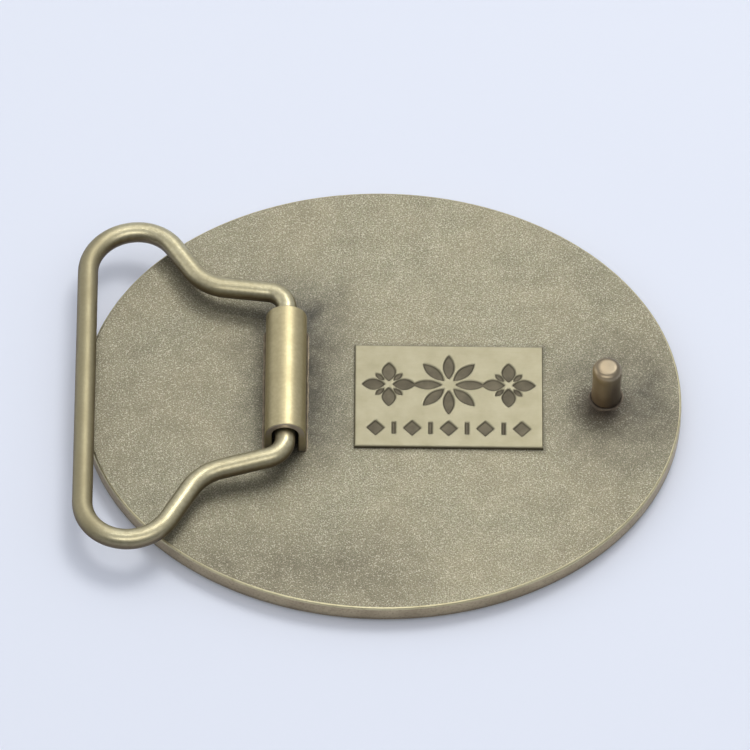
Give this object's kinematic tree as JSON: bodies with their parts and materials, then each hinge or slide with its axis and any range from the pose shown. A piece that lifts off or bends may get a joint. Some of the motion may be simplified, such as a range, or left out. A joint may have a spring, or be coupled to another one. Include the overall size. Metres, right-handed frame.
{
  "type": "belt buckle",
  "caption": "Oval plate buckle with a swinging wire bail in a soldered barrel on its back, a stud for the belt's holes and a small raised tag.",
  "frame": {"origin": "centre of the oval at its front face, which is the surface that the buckle lies on, face down", "axes": "+X along the oval's long axis from the bail's bar to the stud, +Y across the belt, +Z out of the back of the buckle"},
  "size_m": [0.083, 0.07, 0.0102],
  "materials": {
    "blasted_brass": "sand-blasted, antique-brass plated, patina in the hollows",
    "tumbled_brass": "tumbled smooth, antique-brass plated, satin gloss",
    "tag_brass": "relieved by hand, pale satin high face with dark engraving",
    "solder": "brazed joint, darkened by heat and patina"
  },
  "bodies": {
    "plate": {"face_plate": "blasted_brass", "hinge_barrel": "tumbled_brass", "barrel_solder_bar_side": "solder", "barrel_solder_stud_side": "solder", "belt_stud": "tumbled_brass", "stud_solder_ring": "solder", "maker_tag": "tag_brass"},
    "bail": {"bail_wire": "tumbled_brass"}
  },
  "joints": [
    {"name": "bail_swing", "type": "hinge", "parent": "plate", "child": "bail", "pos_m": [-0.01319, 0.0008, 0.0067], "axis": [0, 1, 0], "range_deg": [0, 188]}
  ]
}
